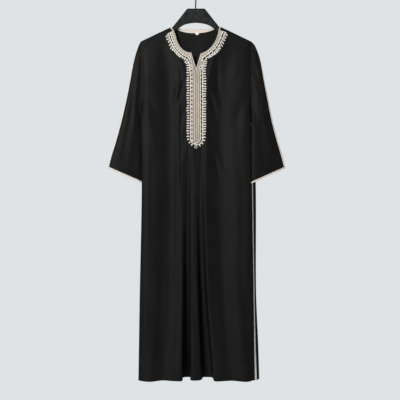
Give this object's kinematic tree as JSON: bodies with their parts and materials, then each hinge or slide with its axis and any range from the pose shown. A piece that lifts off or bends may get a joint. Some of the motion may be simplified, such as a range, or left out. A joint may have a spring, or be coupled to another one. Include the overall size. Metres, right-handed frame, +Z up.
{
  "type": "kaftan on hanger",
  "caption": "Long straight kaftan with a braided neck and placket and wide three-quarter sleeves, hanging closed on a broad flat hanger with a wire hook.",
  "frame": {"origin": "inner top of the hanger's hook, where the whole thing is held", "axes": "+X to the right as seen from the front, +Y to the back of the garment, +Z up"},
  "size_m": [0.6984, 0.103, 1.5455],
  "materials": {
    "cloth_black": "soft black plain weave with a low sheen",
    "braid_beige": "ribbed beige braid",
    "loop_cord": "twisted cream cord",
    "binding_cream": "smooth cream binding",
    "tag_white": "blank white tape",
    "hanger_black": "charcoal flocked surface",
    "hook_wire": "dark wire"
  },
  "bodies": {
    "root": {"front_panel": "cloth_black", "back_panel": "cloth_black", "sleeve_left": "cloth_black", "sleeve_right": "cloth_black", "sleeve_braid_left": "braid_beige", "sleeve_braid_right": "braid_beige", "side_braid_left": "braid_beige", "side_braid_right": "braid_beige", "braid_band_left": "braid_beige", "braid_band_right": "braid_beige", "loop_edging_left": "loop_cord", "loop_edging_right": "loop_cord", "cord_ring_left": "loop_cord", "cord_ring_right": "loop_cord", "neck_binding": "binding_cream", "neck_facing": "binding_cream", "cuff_binding_left": "binding_cream", "cuff_binding_right": "binding_cream", "neck_tag": "tag_white", "hanger_body": "hanger_black", "hanger_hook": "hook_wire"}
  },
  "joints": []
}
